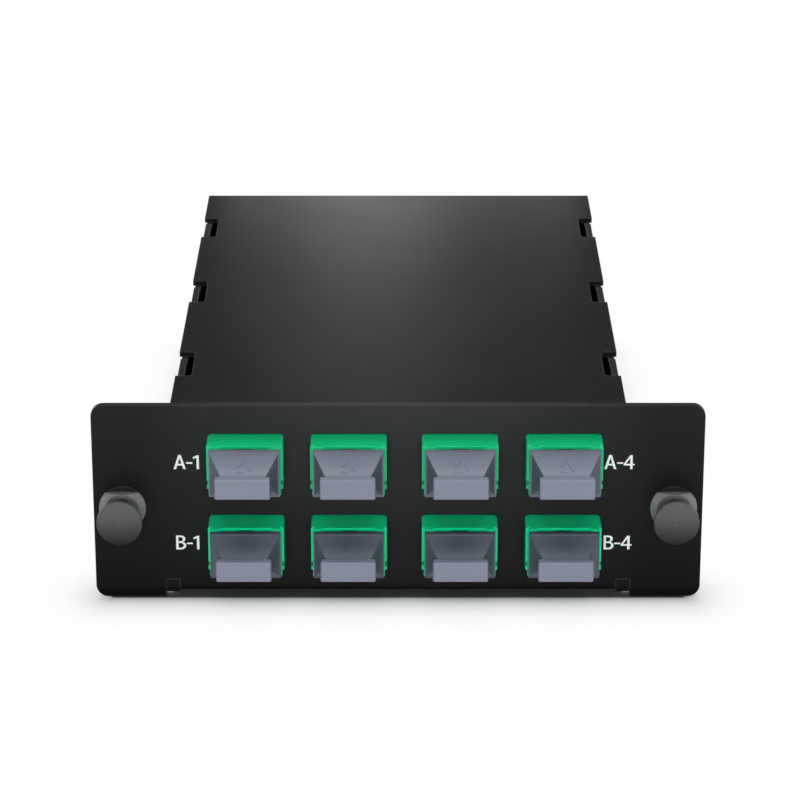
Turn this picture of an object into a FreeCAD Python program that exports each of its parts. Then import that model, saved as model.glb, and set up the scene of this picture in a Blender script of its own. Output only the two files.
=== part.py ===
import FreeCAD
import Part
import Sketcher

import os

# Rack cassette for multi-fibre connectors, in millimetres.
# A folded steel tray carries eight adapters in its front panel, four columns by two rows, each
# closed by a pull-off dust cap. A folded cover drops over three tabs on each side wall and is
# screwed to the rear wall. Two push-in plungers in the panel's ears hold the cassette in its rack.
#
# Frame: X across the panel, +Y from the panel towards the rear wall, +Z up. The origin is on the
# surface the ears stand on, under the middle of the whole assembly.

SIZES = [
    # Front panel and its ears
    ("panel_height", 37.0),
    ("panel_corner", 2.2),
    ("ear_width", 14.0),
    ("relief_inset", 1.2),
    ("relief_width", 2.5),
    ("relief_height", 2.6),
    # Sheet-metal case
    ("side_room", 4.7),
    ("case_depth", 130.0),
    ("tray_sheet", 1.2),
    ("cover_sheet", 1.0),
    ("bend_inside", 0.6),
    ("tray_lift", 0.8),
    ("cover_step", 0.6),
    ("cover_lip", 0.45),
    ("front_seam", 0.35),
    ("fold_gap", 0.1),
    ("rear_skirt", 14.0),
    # Tabs of the side walls, and the cover's notches round them
    ("tab_mid", 64.6),
    ("tab_pitch", 41.4),
    ("tab_count", 3),
    ("notch_length", 12.8),
    ("notch_gap", 1.3),
    ("notch_round", 0.8),
    ("tab_entry", 3.9),
    # Screws that hold the cover to the rear wall
    ("screw_pitch", 32.0),
    ("screw_drop", 7.0),
    ("screw_shank", 2.0),
    ("screw_length", 4.0),
    ("screw_head", 3.8),
    ("screw_head_rise", 1.3),
    ("screw_socket", 1.3),
    ("screw_gap", 0.1),
    # Adapters: where they sit in the panel
    ("row_drop", 10.05),
    ("row_pitch", 15.6),
    ("group_shift", 1.125),
    ("left_pitch", 18.35),
    ("middle_pitch", 19.75),
    ("right_pitch", 18.5),
    # Adapter body
    ("adapter_width", 12.8),
    ("adapter_height", 9.0),
    ("adapter_length", 25.0),
    ("adapter_reach", 6.5),
    ("adapter_bevel", 0.35),
    ("cutout_gap", 0.1),
    ("port_width", 11.0),
    ("port_height", 6.8),
    ("divider", 1.2),
    ("window_width", 6.7),
    ("window_height", 2.8),
    ("keyway_width", 3.0),
    ("keyway_depth", 0.6),
    ("lip_width", 10.2),
    ("lip_depth", 0.7),
    ("shoulder_rise", 0.35),
    ("shoulder_length", 5.4),
    ("shoulder_height", 8.25),
    ("dent_start", 6.7),
    ("dent_height", 0.85),
    ("hook_thick", 0.6),
    ("hook_gap", 0.35),
    ("hook_length", 7.6),
    ("hook_catch", 0.4),
    ("hook_height", 2.8),
    # Steel clip behind the panel
    ("clip_sheet", 0.3),
    ("clip_length", 5.0),
    ("clip_start", 0.5),
    ("clip_drop", 6.0),
    ("tongue_height", 3.0),
    ("tongue_spread", 0.9),
    ("tongue_gap", 0.05),
    # Dust cap
    ("cap_width", 12.5),
    ("cap_height", 8.5),
    ("cap_flange", 1.2),
    ("cap_gap", 0.3),
    ("cap_funnel", 5.7),
    ("cap_step", 0.25),
    ("neck_width", 7.6),
    ("neck_height", 3.0),
    ("side_scoop", 13.0),
    ("face_scoop", 6.5),
    ("grip_width", 9.7),
    ("grip_height", 3.7),
    ("grip_thick", 1.6),
    ("grip_round", 0.35),
    ("grip_bevel", 0.2),
    ("plug_gap", 0.3),
    ("plug_height", 5.2),
    ("plug_length", 5.2),
    ("plug_wall", 0.9),
    # Push-in plungers of the ears
    ("plunger_inset", 5.2),
    ("plunger_drop", 1.1),
    ("collar_width", 8.4),
    ("collar_rise", 1.3),
    ("collar_rim", 0.4),
    ("collar_flat", 3.0),
    ("dish_width", 5.9),
    ("dish_depth", 0.8),
    ("barrel_width", 5.0),
    ("barrel_length", 8.0),
    ("barrel_gap", 0.1),
    ("snap_rise", 0.35),
    ("snap_length", 1.2),
    ("barrel_root", 2.2),
    ("slit_width", 0.6),
    ("shank_width", 2.8),
    ("shank_gap", 0.1),
    ("shank_depth", 2.4),
    ("knob_width", 8.1),
    ("knob_rim", 0.8),
    ("knob_dome", 0.5),
    ("knob_travel", 5.3),
    ("knob_stop", 0.2),
]


class Size:
    """A length with its value and the expression that gives it from the sheet."""

    def __init__(self, value, text):
        self.value = value
        self.text = text

    @staticmethod
    def of(other):
        return other if isinstance(other, Size) else Size(float(other), repr(float(other)))

    def _join(self, other, sign, value):
        return Size(value, f"({self.text} {sign} {Size.of(other).text})")

    def __add__(self, other):
        return self._join(other, "+", self.value + Size.of(other).value)

    def __sub__(self, other):
        return self._join(other, "-", self.value - Size.of(other).value)

    def __mul__(self, other):
        return self._join(other, "*", self.value * Size.of(other).value)

    def __truediv__(self, other):
        return self._join(other, "/", self.value / Size.of(other).value)

    def __radd__(self, other):
        return Size.of(other) + self

    def __rsub__(self, other):
        return Size.of(other) - self

    def __rmul__(self, other):
        return Size.of(other) * self

    def __neg__(self):
        return Size.of(-1) * self


class Sizes:
    """The spreadsheet of driving dimensions, read as attributes."""

    def __init__(self, doc):
        self.sheet = doc.addObject("Spreadsheet::Sheet", "Sizes")
        for row, (name, value) in enumerate(SIZES, start=1):
            self.sheet.set(f"A{row}", name)
            self.sheet.set(f"B{row}", str(value))
            self.sheet.setAlias(f"B{row}", name)
        doc.recompute()

    def __getattr__(self, name):
        return Size(float(self.sheet.get(name)), f"Sizes.{name}")


def new_body(doc, label, x, y, z):
    """A body whose own origin stands at x, y, z of the assembly."""
    body = doc.addObject("PartDesign::Body", label)
    body.Label = label
    for axis, size in zip("xyz", (x, y, z)):
        body.setExpression(f"Placement.Base.{axis}", Size.of(size).text)
    return body


def new_sketch(body, name, plane, offset):
    """A sketch on one of the body's origin planes, moved along the plane's normal."""
    sketch = body.newObject("Sketcher::SketchObject", name)
    origin = [f for f in body.Origin.OriginFeatures if f.Role == plane][0]
    sketch.AttachmentSupport = [(origin, "")]
    sketch.MapMode = "FlatFace"
    sketch.setExpression("AttachmentOffset.Base.z", Size.of(offset).text)
    return sketch


def fix_point(sketch, curve, end, point):
    """Both coordinates of a curve's end, from the sheet."""
    for kind, size in zip(("DistanceX", "DistanceY"), point):
        size = Size.of(size)
        index = sketch.addConstraint(Sketcher.Constraint(kind, curve, end, size.value))
        sketch.setExpression(f"Constraints[{index}]", size.text)


def flat(point):
    return FreeCAD.Vector(Size.of(point[0]).value, Size.of(point[1]).value, 0)


def arc_between(start, end, radius):
    """The arc of a radius from start to end. It bulges to the left of that way, or to the right
    where the radius is negative, and is drawn anticlockwise as a sketch needs it."""
    a, b = flat(start), flat(end)
    chord = b - a
    side = FreeCAD.Vector(-chord.y, chord.x, 0).normalize()
    rise = abs(radius.value) - (radius.value**2 - (chord.Length / 2) ** 2) ** 0.5
    if radius.value > 0:
        return Part.Arc(b, (a + b) / 2 + side * rise, a)
    return Part.Arc(a, (a + b) / 2 - side * rise, b)


def add_loop(sketch, points, arcs=None):
    """A closed outline. arcs gives the radius of the side that starts at a point: positive bulges
    to the left of the way round, negative to the right."""
    arcs = arcs or {}
    first = sketch.GeometryCount
    ends = []
    for i, point in enumerate(points):
        follow = points[(i + 1) % len(points)]
        if i in arcs:
            sketch.addGeometry(arc_between(point, follow, arcs[i]))
        else:
            sketch.addGeometry(Part.LineSegment(flat(point), flat(follow)))
        ends.append((2, 1) if i in arcs and arcs[i].value > 0 else (1, 2))
    for i, point in enumerate(points):
        follow = (i + 1) % len(points)
        sketch.addConstraint(
            Sketcher.Constraint("Coincident", first + i, ends[i][1], first + follow, ends[follow][0])
        )
        fix_point(sketch, first + i, ends[i][0], point)
    for i, radius in arcs.items():
        size = radius if radius.value > 0 else -radius
        index = sketch.addConstraint(Sketcher.Constraint("Radius", first + i, size.value))
        sketch.setExpression(f"Constraints[{index}]", size.text)


def add_circle(sketch, x, y, radius):
    circle = Part.Circle(flat((x, y)), FreeCAD.Vector(0, 0, 1), radius.value)
    curve = sketch.addGeometry(circle)
    fix_point(sketch, curve, 3, (x, y))
    index = sketch.addConstraint(Sketcher.Constraint("Radius", curve, radius.value))
    sketch.setExpression(f"Constraints[{index}]", radius.text)


def box_points(x0, y0, x1, y1):
    return [(x0, y0), (x1, y0), (x1, y1), (x0, y1)]


def prism(body, name, plane, low, high, draw, cut=False):
    """A pad, or a pocket if cut, between two levels of the axis across the plane. draw adds the
    outlines to the sketch. Levels run along +Z for XY, +Y for XZ and +X for YZ."""
    low, high = Size.of(low), Size.of(high)
    start = low if (plane == "XZ_Plane") == cut else high
    if plane == "XZ_Plane":
        offset = -start
    else:
        offset = high if cut else low
    sketch = new_sketch(body, f"{name}_sketch", plane, offset)
    draw(sketch)
    kind = "PartDesign::Pocket" if cut else "PartDesign::Pad"
    feature = body.newObject(kind, name)
    feature.Profile = sketch
    feature.setExpression("Length", (high - low).text)
    sketch.Visibility = False
    return feature


def boxes(*corners):
    """A drawing of rectangles, each as its two corners."""

    def draw(sketch):
        for x0, y0, x1, y1 in corners:
            add_loop(sketch, box_points(x0, y0, x1, y1))

    return draw


def outline(points, arcs=None):
    def draw(sketch):
        add_loop(sketch, points, arcs)

    return draw


def picked_edges(base, test):
    """The edges of a feature that pass the test, which gets each edge's box."""
    base.Document.recompute()
    edges = enumerate(base.Shape.Edges, start=1)
    return base, [f"Edge{i}" for i, edge in edges if test(edge.BoundBox)]


def round_edges(body, name, base, radius, test):
    fillet = body.newObject("PartDesign::Fillet", name)
    fillet.Base = picked_edges(base, test)
    fillet.setExpression("Radius", radius.text)
    return fillet


def bevel_edges(body, name, base, size, test):
    chamfer = body.newObject("PartDesign::Chamfer", name)
    chamfer.Base = picked_edges(base, test)
    chamfer.setExpression("Size", size.text)
    return chamfer


def near(a, b):
    return abs(a - Size.of(b).value) < 1e-4


def columns(s):
    """The adapters' X places. The group stands a little to the right, with a wider middle pitch."""
    left, right = s.group_shift - s.middle_pitch / 2, s.group_shift + s.middle_pitch / 2
    return [left - s.left_pitch, left, right, right + s.right_pitch]


def rows(s):
    """The adapters' heights, by the letter of the row."""
    top = s.panel_height - s.row_drop
    return {"a": top, "b": top - s.row_pitch}


def case_half(s):
    """Half the cover's width: room beside the outermost adapter, the same on both sides."""
    return columns(s)[-1] + s.adapter_width / 2 + s.side_room


def panel_half(s):
    return case_half(s) + s.ear_width


def plunger_x(s):
    return panel_half(s) - s.plunger_inset


def plunger_height(s):
    return s.panel_height / 2 - s.plunger_drop


def middle_y(s):
    """Half way between the dust caps' grips and the heads of the rear screws."""
    return (s.case_depth + s.screw_head_rise - cap_reach(s)) / 2


def cap_reach(s):
    """How far the dust caps stand out in front of the panel."""
    return s.adapter_reach + s.cap_gap + s.cap_flange + s.cap_funnel + s.grip_thick


def case_top(s):
    return s.panel_height - s.cover_step


def tray_top(s):
    return case_top(s) - s.cover_sheet


def tray_half(s):
    return case_half(s) - s.cover_lip


def tray_back(s):
    return s.case_depth - s.cover_sheet - s.fold_gap


def screw_height(s):
    return case_top(s) - s.screw_drop


def cutouts(s):
    """The panel openings, which the adapters fill with a small gap all round."""
    half_x = s.adapter_width / 2 + s.cutout_gap
    half_z = s.adapter_height / 2 + s.cutout_gap
    for z in rows(s).values():
        for x in columns(s):
            yield x - half_x, z - half_z, x + half_x, z + half_z


def make_tray(doc, s):
    """Floor, side walls, rear wall and front panel, folded from one sheet."""
    body = new_body(doc, "tray", 0, -middle_y(s), 0)
    half, back, sheet = tray_half(s), tray_back(s), s.tray_sheet
    bend = s.bend_inside + sheet
    block = prism(
        body, "tray_block", "XY_Plane", s.tray_lift, tray_top(s), boxes((-half, 0, half, back))
    )
    round_edges(
        body, "outer_folds", block, bend,
        lambda box: near(box.ZMax, s.tray_lift) and near(box.ZMin, s.tray_lift),
    )
    floor = s.tray_lift + sheet
    hollow = prism(
        body, "hollow", "XY_Plane", floor, tray_top(s),
        boxes((sheet - half, sheet, half - sheet, back - sheet)), cut=True,
    )
    round_edges(
        body, "inner_folds", hollow, s.bend_inside,
        lambda box: near(box.ZMax, floor) and near(box.ZMin, floor),
    )

    wide, notch = panel_half(s), case_half(s) - s.relief_inset
    ear, under = notch + s.relief_width, s.tray_lift + bend
    relief = s.tray_lift + s.relief_height
    panel = prism(
        body, "panel", "XZ_Plane", 0, sheet,
        outline([
            (-wide, 0), (-ear, 0), (-ear, relief), (-notch, relief), (-notch, under),
            (notch, under), (notch, relief), (ear, relief), (ear, 0), (wide, 0),
            (wide, s.panel_height), (-wide, s.panel_height),
        ]),
    )
    round_edges(
        body, "panel_corners", panel, s.panel_corner,
        lambda box: near(abs(box.XMin), wide) and near(box.XMax, box.XMin) and near(box.YMax, sheet)
        and near(box.YMin, 0) and near(box.ZMin, box.ZMax),
    )
    prism(
        body, "corner_reliefs", "XZ_Plane", 0, bend,
        boxes((notch, 0, ear, relief), (-ear, 0, -notch, relief)), cut=True,
    )
    prism(body, "adapter_cutouts", "XZ_Plane", 0, sheet, boxes(*cutouts(s)), cut=True)

    def plunger_holes(sketch):
        for side in (-1, 1):
            radius = s.barrel_width / 2 + s.barrel_gap
            add_circle(sketch, side * plunger_x(s), plunger_height(s), radius)

    prism(body, "plunger_holes", "XZ_Plane", 0, sheet, plunger_holes, cut=True)

    def screw_holes(sketch):
        for step in (-1, 0, 1):
            add_circle(sketch, step * s.screw_pitch, screw_height(s), s.screw_shank / 2 + s.screw_gap)

    prism(body, "screw_holes", "XZ_Plane", back - sheet, back, screw_holes, cut=True)
    prism(
        body, "bend_relief", "XZ_Plane", back - sheet, back,
        boxes((-half, tray_top(s) - s.bend_inside, half, tray_top(s))), cut=True,
    )

    first = s.tab_mid - s.tab_pitch - s.notch_length / 2
    tab_ends = (first + s.front_seam, first + s.notch_length - s.tab_entry)
    tabs = prism(
        body, "tabs", "XY_Plane", tray_top(s), case_top(s),
        boxes(
            (half - sheet, tab_ends[0], half, tab_ends[1]),
            (-half, tab_ends[0], sheet - half, tab_ends[1]),
        ),
    )
    repeat_along_y(body, "tab_row", tabs, s)
    return body


def repeat_along_y(body, name, feature, s):
    """The tabs and the notches repeat at one pitch."""
    pattern = body.newObject("PartDesign::LinearPattern", name)
    pattern.Originals = [feature]
    axis = [f for f in body.Origin.OriginFeatures if f.Role == "Y_Axis"][0]
    pattern.Direction = (axis, [""])
    pattern.Mode = "Spacing"
    pattern.setExpression("Offset", s.tab_pitch.text)
    pattern.setExpression("Occurrences", s.tab_count.text)
    body.Tip = pattern


def make_cover(doc, s):
    """Top plate with notches round the tray's tabs, and a rear skirt outside the rear wall."""
    body = new_body(doc, "cover", 0, -middle_y(s), 0)
    wide, sheet, top = case_half(s), s.cover_sheet, case_top(s)
    front = s.tray_sheet + s.front_seam
    back, foot = s.case_depth, top - s.rear_skirt
    inner = s.bend_inside
    bend = inner + sheet
    side = prism(
        body, "fold", "YZ_Plane", -wide, wide,
        outline(
            [
                (front, top - sheet), (back - bend, top - sheet), (back - sheet, top - bend),
                (back - sheet, foot), (back, foot), (back, top - bend), (back - bend, top),
                (front, top),
            ],
            {1: inner, 5: -bend},
        ),
    )
    skirt = tray_half(s)
    prism(
        body, "skirt_ends", "XZ_Plane", back - bend, back,
        boxes((skirt, foot - 1, wide + 1, tray_top(s)), (-wide - 1, foot - 1, -skirt, tray_top(s))),
        cut=True,
    )

    first = s.tab_mid - s.tab_pitch - s.notch_length / 2
    reach = wide - s.cover_lip - s.tray_sheet - s.notch_gap
    last = first + s.notch_length
    turn = s.notch_round

    def notch(sketch):
        for hand in (1, -1):
            add_loop(
                sketch,
                [
                    (hand * (wide + 1), first), (hand * (wide + 1), last),
                    (hand * (reach + turn), last), (hand * reach, last - turn),
                    (hand * reach, first + turn), (hand * (reach + turn), first),
                ],
                {2: turn * -hand, 4: turn * -hand},
            )

    notches = prism(body, "notches", "XY_Plane", top - sheet, top, notch, cut=True)
    repeat_along_y(body, "notch_row", notches, s)

    def screw_holes(sketch):
        for step in (-1, 0, 1):
            add_circle(sketch, step * s.screw_pitch, screw_height(s), s.screw_shank / 2 + s.screw_gap)

    prism(body, "screw_holes", "XZ_Plane", back - sheet, back, screw_holes, cut=True)
    return body


def turned_solid(doc, kind, name, x, y, z, **sizes):
    """A Part primitive on an axis along +Y, with its place and sizes from the sheet."""
    item = doc.addObject(kind, name)
    item.Placement.Rotation = FreeCAD.Rotation(FreeCAD.Vector(1, 0, 0), -90)
    for axis, size in zip("xyz", (x, y, z)):
        item.setExpression(f"Placement.Base.{axis}", size.text)
    for key, size in sizes.items():
        item.setExpression(key, size.text)
    return item


def make_cover_screws(doc, s):
    """Pan-head screws with a hexagon socket, through the skirt into the rear wall."""
    screws = []
    face, z = s.case_depth - middle_y(s), screw_height(s)
    for number, step in enumerate((-1, 0, 1), start=1):
        x = step * s.screw_pitch
        head = turned_solid(
            doc, "Part::Cylinder", f"screw_head_{number}", x, face, z,
            Radius=s.screw_head / 2, Height=s.screw_head_rise,
        )
        shank = turned_solid(
            doc, "Part::Cylinder", f"screw_shank_{number}", x, face - s.screw_length, z,
            Radius=s.screw_shank / 2, Height=s.screw_length,
        )
        whole = doc.addObject("Part::Fuse", f"screw_solid_{number}")
        whole.Base, whole.Tool = head, shank
        socket = turned_solid(
            doc, "Part::Prism", f"screw_socket_{number}", x, face + s.screw_head_rise * 0.4, z,
            Circumradius=s.screw_socket / 2, Height=s.screw_head_rise,
        )
        screw = doc.addObject("Part::Cut", f"screw_{number}")
        screw.Base, screw.Tool = whole, socket
        screws.append(screw)
    group = doc.addObject("Part::Compound", "cover_screws")
    group.Label = "cover_screws"
    group.Links = screws
    return group


def adapter_back(s):
    return s.adapter_length - s.adapter_reach


def divider_ends(s):
    """The wall between the front and rear ports, in the middle of the adapter's length."""
    centre = s.adapter_length / 2 - s.adapter_reach
    return centre - s.divider / 2, centre + s.divider / 2


def make_adapter(doc, s, label, x, z):
    """Moulded coupler: two opposed ports with keyways, latch hooks and a ferrule window."""
    body = new_body(doc, label, x, -middle_y(s), z)
    wide, high = s.adapter_width / 2, s.adapter_height / 2
    front, back = -s.adapter_reach, adapter_back(s)
    near_wall, far_wall = divider_ends(s)
    block = prism(body, "block", "XZ_Plane", front, back, boxes((-wide, -high, wide, high)))
    bevel_edges(
        body, "block_bevels", block, s.adapter_bevel,
        lambda box: box.YLength > s.adapter_length.value - 1e-3 and near(box.ZMin, high),
    )
    flank = wide + s.shoulder_rise
    shoulder = prism(
        body, "shoulder", "XZ_Plane", -s.shoulder_length, 0,
        boxes((-flank, high - s.shoulder_height, flank, high)),
    )
    bevel_edges(
        body, "shoulder_bevels", shoulder, s.adapter_bevel,
        lambda box: near(abs(box.XMin), flank) and near(box.XMax, box.XMin) and near(box.ZMin, high)
        and near(box.ZMax, high),
    )
    dent = high - s.dent_start
    prism(
        body, "side_dents", "XZ_Plane", -s.shoulder_length, 0,
        boxes(
            (wide, dent - s.dent_height, flank + 1, dent),
            (-flank - 1, dent - s.dent_height, -wide, dent),
        ),
        cut=True,
    )
    port, tall = s.port_width / 2, s.port_height / 2
    prism(body, "front_port", "XZ_Plane", front, near_wall, boxes((-port, -tall, port, tall)), True)
    prism(body, "rear_port", "XZ_Plane", far_wall, back, boxes((-port, -tall, port, tall)), True)
    window, slit = s.window_width / 2, s.window_height / 2
    prism(
        body, "ferrule_window", "XZ_Plane", near_wall, far_wall,
        boxes((-window, -slit, window, slit)), True,
    )
    key, deep = s.keyway_width / 2, tall + s.keyway_depth
    prism(body, "front_keyway", "XZ_Plane", front, near_wall, boxes((-key, 0, key, deep)), True)
    prism(body, "rear_keyway", "XZ_Plane", far_wall, back, boxes((-key, -deep, key, 0)), True)
    lip, taper = s.lip_width / 2, s.lip_width / 2 - s.lip_depth
    prism(
        body, "front_lips", "XY_Plane", -high, high,
        outline([
            (-lip, front), (lip, front), (taper, front + s.lip_depth), (-taper, front + s.lip_depth),
        ]),
        cut=True,
    )
    clip_seat(body, s)
    latch_hooks(body, s, near_wall, far_wall)
    return body


def clip_ends(s):
    """The clip's strap lies behind the panel."""
    start = s.tray_sheet + s.clip_start
    return start, start + s.clip_length


def clip_seat(body, s):
    """Shallow channel over the top and both sides for the clip's strap."""
    start, end = clip_ends(s)
    wide, high, deep = s.adapter_width / 2, s.adapter_height / 2, s.clip_sheet
    foot = high - s.clip_drop
    prism(
        body, "clip_seat", "XZ_Plane", start, end,
        outline([
            (-wide - 1, foot), (deep - wide, foot), (deep - wide, high - deep),
            (wide - deep, high - deep), (wide - deep, foot), (wide + 1, foot), (wide + 1, high + 1),
            (-wide - 1, high + 1),
        ]),
        cut=True,
    )


def latch_hooks(body, s, near_wall, far_wall):
    """A sprung arm on each side of both ports, with a catch at its tip."""
    outer = s.port_width / 2 - s.hook_gap
    inner = outer - s.hook_thick
    catch = inner - s.hook_catch
    tip = s.hook_length

    def arms(sketch):
        for hand in (1, -1):
            for way, root in ((-1, near_wall), (1, far_wall)):
                add_loop(
                    sketch,
                    [
                        (hand * outer, root), (hand * inner, root),
                        (hand * inner, root + way * (tip - 2)),
                        (hand * catch, root + way * (tip - 1.6)),
                        (hand * catch, root + way * (tip - 1)),
                        (hand * (inner + 0.2), root + way * tip), (hand * outer, root + way * tip),
                    ],
                )

    prism(body, "latch_hooks", "XY_Plane", -s.hook_height / 2, s.hook_height / 2, arms)


def make_adapter_clip(doc, s, label, x, z):
    """Spring-steel saddle whose splayed tongues bear on the panel's rear face."""
    body = new_body(doc, label, x, -middle_y(s), z)
    wide, high, sheet = s.adapter_width / 2, s.adapter_height / 2, s.clip_sheet
    start, end = clip_ends(s)
    foot = high - s.clip_drop
    prism(
        body, "strap", "XZ_Plane", start, end,
        outline([
            (-wide, foot), (sheet - wide, foot), (sheet - wide, high - sheet),
            (wide - sheet, high - sheet), (wide - sheet, foot), (wide, foot), (wide, high),
            (-wide, high),
        ]),
    )
    tip, spread = s.tray_sheet + s.tongue_gap, wide + s.tongue_spread

    def tongues(sketch):
        for hand in (1, -1):
            add_loop(
                sketch,
                [
                    (hand * (wide - sheet), end), (hand * wide, end), (hand * (spread + sheet), tip),
                    (hand * spread, tip), (hand * (wide - sheet), end - 1),
                ],
            )

    prism(body, "tongues", "XY_Plane", -s.tongue_height / 2, s.tongue_height / 2, tongues)
    return body


def make_dust_cap(doc, s, label, x, z):
    """Moulded cap: flange over the port, scooped funnel, grip bar, and a plug in the port."""
    body = new_body(doc, label, x, -middle_y(s), z)
    wide, high = s.cap_width / 2, s.cap_height / 2
    seat = -s.adapter_reach - s.cap_gap
    face = seat - s.cap_flange
    neck = face - s.cap_funnel
    tip = neck - s.grip_thick
    grip, bar = s.grip_width / 2, s.grip_height / 2
    handle = prism(body, "grip", "XZ_Plane", tip, neck, boxes((-grip, -bar, grip, bar)))
    corners = round_edges(
        body, "grip_corners", handle, s.grip_round,
        lambda box: near(box.XMin, box.XMax) and near(box.ZMin, box.ZMax),
    )
    bevel_edges(body, "grip_bevel", corners, s.grip_bevel, lambda box: near(box.YMax, tip))
    prism(body, "flange", "XZ_Plane", face, seat, boxes((-wide, -high, wide, high)))
    root, thin = wide - s.cap_step, s.neck_width / 2
    prism(
        body, "funnel", "XY_Plane", -high + s.cap_step, high - s.cap_step,
        outline(
            [(-root, face), (-thin, neck), (thin, neck), (root, face)],
            {0: s.side_scoop, 2: s.side_scoop},
        ),
    )
    low, lean = high - s.cap_step, s.neck_height / 2

    def scoops(sketch):
        for hand in (1, -1):
            add_loop(
                sketch,
                [
                    (face, hand * low), (neck, hand * lean), (neck, hand * (high + 1)),
                    (face, hand * (high + 1)),
                ],
                {0: s.face_scoop * hand},
            )

    prism(body, "face_scoops", "YZ_Plane", -wide, wide, scoops, cut=True)
    hook = s.port_width / 2 - s.hook_gap - s.hook_thick - s.hook_catch
    plug, tall = hook - s.plug_gap, s.plug_height / 2
    prism(body, "plug", "XZ_Plane", seat, seat + s.plug_length, boxes((-plug, -tall, plug, tall)))
    key = s.keyway_width / 2 - s.plug_gap
    crest = s.port_height / 2 + s.keyway_depth - s.plug_gap
    prism(body, "plug_key", "XZ_Plane", seat, seat + s.plug_length, boxes((-key, 0, key, crest)))
    core, hollow = plug - s.plug_wall, tall - s.plug_wall
    prism(
        body, "plug_hollow", "XZ_Plane", seat, seat + s.plug_length,
        boxes((-core, -hollow, core, hollow)), cut=True,
    )
    return body


def turned_body(body, name, points, arcs=None):
    """A revolution about the body's Y axis. Points are radius and height along Y."""
    sketch = new_sketch(body, f"{name}_sketch", "XY_Plane", 0)
    add_loop(sketch, points, arcs)
    feature = body.newObject("PartDesign::Revolution", name)
    feature.Profile = sketch
    feature.ReferenceAxis = (sketch, ["V_Axis"])
    feature.Angle = 360
    sketch.Visibility = False
    return feature


def make_plunger_grommet(doc, s, label, x):
    """Dished collar on the ear's face with a flat at its top, and a split barrel behind it."""
    body = new_body(doc, label, x, -middle_y(s), plunger_height(s))
    bore, dish = s.shank_width / 2 + s.shank_gap, s.dish_width / 2
    collar, barrel = s.collar_width / 2, s.barrel_width / 2
    face, rib = -s.collar_rise, barrel + s.snap_rise
    rib_start = s.tray_sheet + s.barrel_gap
    tip = s.barrel_length
    turned_body(
        body, "turned",
        [
            (bore, face + s.dish_depth), (dish, face + s.dish_depth), (dish, face),
            (collar, -s.collar_rim), (collar, 0), (barrel, 0), (barrel, rib_start),
            (rib, rib_start), (barrel, rib_start + s.snap_length), (barrel, tip - s.snap_rise),
            (barrel - s.snap_rise, tip), (bore, tip),
        ],
    )
    prism(
        body, "flat", "XZ_Plane", face, -s.collar_rim,
        boxes((-collar, s.collar_flat, collar, collar + 1)), cut=True,
    )
    slit = s.slit_width / 2
    prism(
        body, "slit", "XZ_Plane", rib_start + s.snap_length + s.barrel_root, tip + 1,
        boxes((-slit, -rib, slit, rib)), cut=True,
    )
    return body


def dome_radius(half_width, rise):
    return (half_width * half_width + rise * rise) / (2 * rise)


def make_plunger(doc, s, label, x):
    """Domed knob on a shank that slides in the grommet, drawn in its pulled-out place."""
    body = new_body(doc, label, x, -middle_y(s), plunger_height(s))
    shank, knob = s.shank_width / 2, s.knob_width / 2
    under = -s.collar_rise - s.knob_travel - s.knob_stop
    edge = under - s.knob_rim
    turned_body(
        body, "turned",
        [
            (0, edge - s.knob_dome), (knob, edge), (knob, under), (shank, under),
            (shank, s.shank_depth), (0, s.shank_depth),
        ],
        {0: -dome_radius(knob, s.knob_dome)},
    )
    return body


def build(doc):
    """Every sub-part of the cassette, in the document."""
    s = Sizes(doc)
    parts = [make_tray(doc, s), make_cover(doc, s), make_cover_screws(doc, s)]
    for row, z in rows(s).items():
        for number, x in enumerate(columns(s), start=1):
            parts.append(make_adapter(doc, s, f"adapter_{row}{number}", x, z))
            parts.append(make_adapter_clip(doc, s, f"adapter_clip_{row}{number}", x, z))
            parts.append(make_dust_cap(doc, s, f"dust_cap_{row}{number}", x, z))
    for side, hand in (("left", -1), ("right", 1)):
        x = hand * plunger_x(s)
        parts.append(make_plunger_grommet(doc, s, f"plunger_grommet_{side}", x))
        parts.append(make_plunger(doc, s, f"plunger_{side}", x))
    doc.recompute()
    return parts


def check(doc, parts):
    """Stop on a failed object, an empty or invalid shape, or a cut that removes nothing."""
    for item in doc.Objects:
        if "Invalid" in item.State or "Error" in item.State:
            raise RuntimeError(f"{item.Name} failed: {item.State}")
        if item.TypeId == "PartDesign::Pocket" and item.BaseFeature is not None:
            if item.Shape.Volume > item.BaseFeature.Shape.Volume - 1e-6:
                raise RuntimeError(f"{item.Name} removes nothing")
    for part in parts:
        if part.Shape.isNull() or not part.Shape.isValid():
            raise RuntimeError(f"{part.Label} has no valid shape")


def main():
    doc = FreeCAD.newDocument("cassette")
    parts = build(doc)
    check(doc, parts)
    os.makedirs("parts", exist_ok=True)
    for part in parts:
        part.Shape.exportStep(f"parts/{part.Label}.step")
        box = part.Shape.BoundBox
        print(
            f"{part.Label}: solids {len(part.Shape.Solids)} volume {part.Shape.Volume:.2f} "
            f"x {box.XMin:.2f} {box.XMax:.2f} y {box.YMin:.2f} {box.YMax:.2f} "
            f"z {box.ZMin:.2f} {box.ZMax:.2f}"
        )


main()
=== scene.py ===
"""Rack cassette for fibre: finishes, printed port names, relief marks and studio."""

import logging
import math
from dataclasses import dataclass, field
from enum import Enum
from typing import Any, Union

import bmesh
import bpy
from mathutils import Matrix, Vector


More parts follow.
